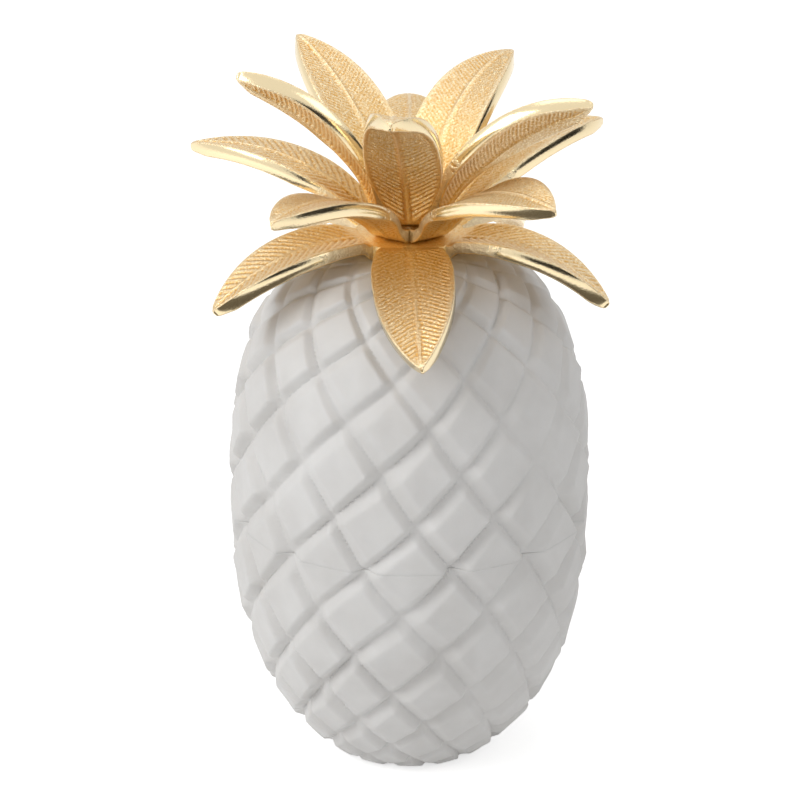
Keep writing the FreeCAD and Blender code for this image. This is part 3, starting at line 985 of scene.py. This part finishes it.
def leaf_half_width(tier, share):
    """Swells from the hub's side to the full width, then narrows to the tip."""
    full = tier.width / 2
    root = tier.root_width / 2
    swell = np.clip(share / tier.widest_at, 0, 1)
    past = np.clip((share - tier.widest_at) / (1 - tier.widest_at), 0, 1)
    rising = root + (full - root) * np.sin(math.pi / 2 * swell)
    rising = rising + tier.root_flare * (1 - ramp(share * tier.length, 0, ROOT_FLARE_LENGTH))
    narrowing = np.maximum(np.cos(math.pi / 2 * past ** EDGE_SHARPNESS), 0)
    falling = np.maximum(full * narrowing ** TIP_FULLNESS, TIP_HALF_WIDTH)
    return np.where(share < tier.widest_at, rising, falling)


def thickness(tier, share):
    """Full at the hub, thinner where the leaf bends up, full again, ground thinner at the tip."""
    thinned = tier.root_thinning * stretch(share, *THINNED_LENGTH)
    return PLATE_THICKNESS * (1 - thinned - GROUND_LOSS * ramp(share, *GROUND_END))


def tip_rounding(leaf, share):
    """How far the end of the leaf is rounded back, from 0 to 1 at the very tip."""
    from_tip = (1 - share) * leaf.tier.length / TIP_ROUNDING
    return 1 - np.sqrt(1 - np.clip(1 - from_tip, 0, 1) ** 2)


def vein_relief(leaf, share, across, half):
    """Height of the veins and midrib over the plain leaf, and how hollow each place is, as the mask of the
    painted shade between the veins and in the midrib's groove.
    """
    crown = settings().crown
    distance = np.abs(across)
    rib = crown.midrib_half_width * (1 - RIB_TAPER * share)
    run = share * leaf.tier.length - distance * VEIN_SLANT - distance ** 2 * VEIN_BOW
    wave = (0.5 + 0.5 * np.cos(2 * math.pi * run / leaf.vein_pitch)) ** VEIN_CREST
    shown = 1 - ramp(distance / np.maximum(half, TIP_HALF_WIDTH), *MARGIN)
    shown = shown * ramp(distance, rib * RIB_EDGE, rib * RIB_EDGE + VEIN_START)
    shown = shown * stretch(share, *VEINED_LENGTH)
    veins = (wave - 1) * leaf.vein_depth * shown
    ridge = ease(RIB_SHOULDER - distance / rib) * (1 - ramp(share, *RIBBED_END))
    groove = np.exp(-((distance - rib * RIB_GROOVE) / RIB_GROOVE_WIDTH) ** 2)
    groove = groove * stretch(share, *GROOVED_LENGTH)
    height = veins + crown.midrib_height * ridge - RIB_GROOVE_DEPTH * groove
    # Mask of the painted shade: darkest in the hollows between the veins and in the midrib's groove
    hollow = np.clip((1 - wave) * shown + groove * RIB_GROOVE_SHADE, 0, 1)
    return height, hollow


def cast_leaf(leaf):
    """A flat block of small faces, bent into the leaf and cut with its veins."""
    crown = settings().crown
    tier = leaf.tier
    piece = flat_grid("cast_" + leaf.name, crown.length_steps, crown.width_steps)
    bpy.ops.object.mode_set(mode="EDIT")
    bpy.ops.mesh.select_all(action="SELECT")
    bpy.ops.mesh.extrude_region_move(TRANSFORM_OT_translate={"value": (0, 0, 1)})
    bpy.ops.mesh.select_all(action="SELECT")
    bpy.ops.mesh.normals_make_consistent(inside=False)
    bpy.ops.object.mode_set(mode="OBJECT")

    mesh = piece.data
    flat = vertex_places(mesh)
    share = np.clip(flat[:, 0] + 0.5, 0, 1)
    level = np.clip(flat[:, 1] * 2, -1, 1)
    level = np.sin(level * math.pi / 2) * EDGE_CROWDING + level * (1 - EDGE_CROWDING)
    upper = flat[:, 2] > 0.5

    middle, across, up, started = leaf_frames(leaf, share)
    ending = tip_rounding(leaf, share)
    half = leaf_half_width(tier, share) * (1 - TIP_NARROWING * ending)
    sideways = level * half
    fold = math.tan(math.radians(tier.fold)) * started
    height, hollow = vein_relief(leaf, share, sideways, half)
    radius = np.minimum(crown.edge_radius, half * EDGE_LIMIT)
    beyond = np.clip(np.abs(sideways) - (half - radius), 0, radius)
    rounding = radius - np.sqrt(np.maximum(radius ** 2 - beyond ** 2, 0))
    rise = np.abs(sideways) * fold
    rounding = rounding + ending * TIP_THINNING
    top = rise + height * started - rounding
    bottom = rise - thickness(tier, share) - height * started + rounding
    lift = np.where(upper, top, bottom)
    place = middle + across * sideways[:, None] + up * lift[:, None]
    mesh.vertices.foreach_set("co", place.ravel())

    for name, values in (("leaf_share", share), ("hollow", hollow)):
        layer = mesh.attributes.new(name, "FLOAT", "POINT")
        layer.data.foreach_set("value", values.astype(np.float32))
    wall = []
    for polygon in mesh.polygons:
        heights = [upper[i] for i in polygon.vertices]
        wall.append(1 if any(heights) and not all(heights) else 0)
    mesh.polygons.foreach_set("material_index", wall)
    mesh.update()
    smooth_shading(piece, 50)
    return piece


class PINEAPPLE_OT_leaves(bpy.types.Operator):
    """Cast the fifteen brass leaves"""

    bl_idname = "pineapple_box.leaves"
    bl_label = "Brass leaves"

    def execute(self, context):
        for leaf in LEAVES:
            piece = cast_leaf(leaf)
            finish_piece(piece, "lid", [leaf.name],
                         [cast_brass_material(), polished_brass_material()])
        return {"FINISHED"}


class PINEAPPLE_OT_hubs(bpy.types.Operator):
    """Finish the three hub plates that carry the leaves"""

    bl_idname = "pineapple_box.hubs"
    bl_label = "Hub plates"

    def execute(self, context):
        for node in ("lower_hub", "middle_hub", "upper_hub"):
            dressed_copy(node, "cast_" + node, "lid", cast_brass_material(), 0.35 * MM)
        return {"FINISHED"}


class PINEAPPLE_OT_hardware(bpy.types.Operator):
    """Finish the stud, washer and nut that hold the crown"""

    bl_idname = "pineapple_box.hardware"
    bl_label = "Stud, washer and nut"

    def execute(self, context):
        for node, radius in (("crown_stud", 0.4), ("stud_washer", 0.25), ("stud_nut", 0.3)):
            dressed_copy(node, "plated_" + node, "lid", steel_material(), radius * MM)
        return {"FINISHED"}


class PINEAPPLE_OT_felt(bpy.types.Operator):
    """Finish the felt pad under the bowl"""

    bl_idname = "pineapple_box.felt"
    bl_label = "Felt pad"

    def execute(self, context):
        dressed_copy("felt_pad", "wool_felt_pad", "base", felt_material(), 0.4 * MM, 3)
        return {"FINISHED"}


# Studio

FLOOR_SIZE = 12.0
FLOOR_COLOR = (0.86, 0.86, 0.86, 1)
FLOOR_GLOW = 0.62
WHITE = (1, 1, 1, 1)


def seen_rays(nodes):
    """1 for rays that show a surface or its reflection, and 0 for rays that gather light."""
    rays = nodes.add("ShaderNodeLightPath")
    mirrored = nodes.math("MAXIMUM", rays.outputs["Is Glossy Ray"],
                          rays.outputs["Is Transmission Ray"])
    return nodes.math("MAXIMUM", rays.outputs["Is Camera Ray"], mirrored)


def floor_material():
    """White floor that goes over into the white background and keeps the box's shadow."""
    material, nodes, shader = new_material("studio_floor")
    shader.inputs["Base Color"].default_value = FLOOR_COLOR
    shader.inputs["Roughness"].default_value = 0.9
    shader.inputs["Specular IOR Level"].default_value = 0.0
    shader.inputs["Emission Color"].default_value = WHITE
    nodes.feed(shader.inputs["Emission Strength"],
               nodes.math("MULTIPLY", seen_rays(nodes), FLOOR_GLOW))
    return material


def white_world():
    """World that shows as white and lights the box evenly."""
    world = bpy.data.worlds.new("white_studio")
    world.use_nodes = True
    nodes = Nodes(world.node_tree)
    background = world.node_tree.nodes["Background"]
    background.inputs["Color"].default_value = WHITE
    nodes.feed(background.inputs["Strength"],
               nodes.spread(seen_rays(nodes), 0.0, 1.0, settings().studio.ambient, 1.0))
    bpy.context.scene.world = world


def aim(thing, direction, front):
    """Turns the given side of a lamp, card or camera to a direction."""
    thing.rotation_mode = "QUATERNION"
    thing.rotation_quaternion = direction.to_track_quat(front, "Y")


def middle_of_box():
    return Vector((0, 0, settings().studio.aim_height))


def dark_card(name, place, width, height, tone=0.02, lying=False):
    """Warm dark card that only shows as a reflection in the polished brass."""
    bpy.ops.object.select_all(action="DESELECT")
    bpy.ops.mesh.primitive_plane_add(size=1.0)
    card = bpy.context.object
    card.name = name
    card.scale = (width, height, 1)
    card.location = place
    aim(card, Vector((0, 0, 1)) if lying else middle_of_box() - card.location, "Z")
    material, _, shader = new_material(name)
    shader.inputs["Base Color"].default_value = (tone, tone * 0.9, tone * 0.75, 1)
    shader.inputs["Roughness"].default_value = 1.0
    card.data.materials.append(material)
    for kind in ("camera", "diffuse", "transmission", "shadow"):
        setattr(card, "visible_" + kind, False)


def soft_lamp(name, place, size, power):
    """Square lamp that points at the middle of the box."""
    data = bpy.data.lights.new(name, "AREA")
    data.size = size
    data.energy = power
    lamp = bpy.data.objects.new(name, data)
    bpy.context.scene.collection.objects.link(lamp)
    lamp.location = place
    aim(lamp, middle_of_box() - lamp.location, "-Z")


def product_camera():
    """Camera at the photograph's height and distance, in front of the box."""
    studio = settings().studio
    data = bpy.data.cameras.new("product_camera")
    data.lens = studio.lens
    data.shift_x = studio.shift_x
    data.shift_y = studio.shift_y
    camera = bpy.data.objects.new("product_camera", data)
    bpy.context.scene.collection.objects.link(camera)
    back = Vector((0, -math.cos(studio.camera_elevation), math.sin(studio.camera_elevation)))
    camera.location = middle_of_box() + back * studio.camera_distance
    aim(camera, -back, "-Z")
    bpy.context.scene.camera = camera


class PINEAPPLE_OT_studio(bpy.types.Operator):
    """Set up the floor, the lamps and the camera"""

    bl_idname = "pineapple_box.studio"
    bl_label = "Studio"

    def execute(self, context):
        studio = settings().studio
        context.scene.view_settings.view_transform = "Standard"
        bpy.ops.object.select_all(action="DESELECT")
        bpy.ops.mesh.primitive_plane_add(size=FLOOR_SIZE)
        floor = context.object
        floor.name = "studio_floor"
        floor.data.materials.append(floor_material())
        white_world()
        soft_lamp("key_left", place=(-1.1, -0.62, 1.0), size=0.9, power=studio.key_power)
        soft_lamp("fill_right", place=(1.0, -0.9, 1.1), size=0.8, power=studio.fill_power)
        soft_lamp("top", place=(0.0, 0.2, 1.5), size=1.0, power=studio.top_power)
        dark_card("card_front", place=(0.2, -2.2, 0.45), width=2.4, height=0.9)
        dark_card("card_right", place=(1.9, -0.5, 0.36), width=2.2, height=0.9)
        dark_card("card_low", place=(0.0, -0.27, 0.001), width=0.62, height=0.28, tone=0.16,
                  lying=True)
        product_camera()
        return {"FINISHED"}


class PINEAPPLE_PT_panel(bpy.types.Panel):
    """Sidebar panel that lists the pieces"""

    bl_idname = "PINEAPPLE_PT_panel"
    bl_label = "Pineapple Box"
    bl_space_type = "VIEW_3D"
    bl_region_type = "UI"
    bl_category = "Pineapple Box"

    def draw(self, context):
        for step in STEPS:
            self.layout.operator(step.bl_idname)


STEPS = (PINEAPPLE_OT_stone, PINEAPPLE_OT_leaves, PINEAPPLE_OT_hubs, PINEAPPLE_OT_hardware,
         PINEAPPLE_OT_felt, PINEAPPLE_OT_studio)
CLASSES = (StoneSettings, CrownSettings, StudioSettings, BoxSettings, *STEPS, PINEAPPLE_PT_panel)


def register():
    for item in CLASSES:
        bpy.utils.register_class(item)
    bpy.types.Scene.pineapple_box = PointerProperty(type=BoxSettings)


def unregister():
    del bpy.types.Scene.pineapple_box
    for item in reversed(CLASSES):
        bpy.utils.unregister_class(item)


def main():
    register()
    bpy.ops.pineapple_box.stone()
    bpy.ops.pineapple_box.leaves()
    bpy.ops.pineapple_box.hubs()
    bpy.ops.pineapple_box.hardware()
    bpy.ops.pineapple_box.felt()
    bpy.ops.pineapple_box.studio()


if __name__ == "__main__":
    main()
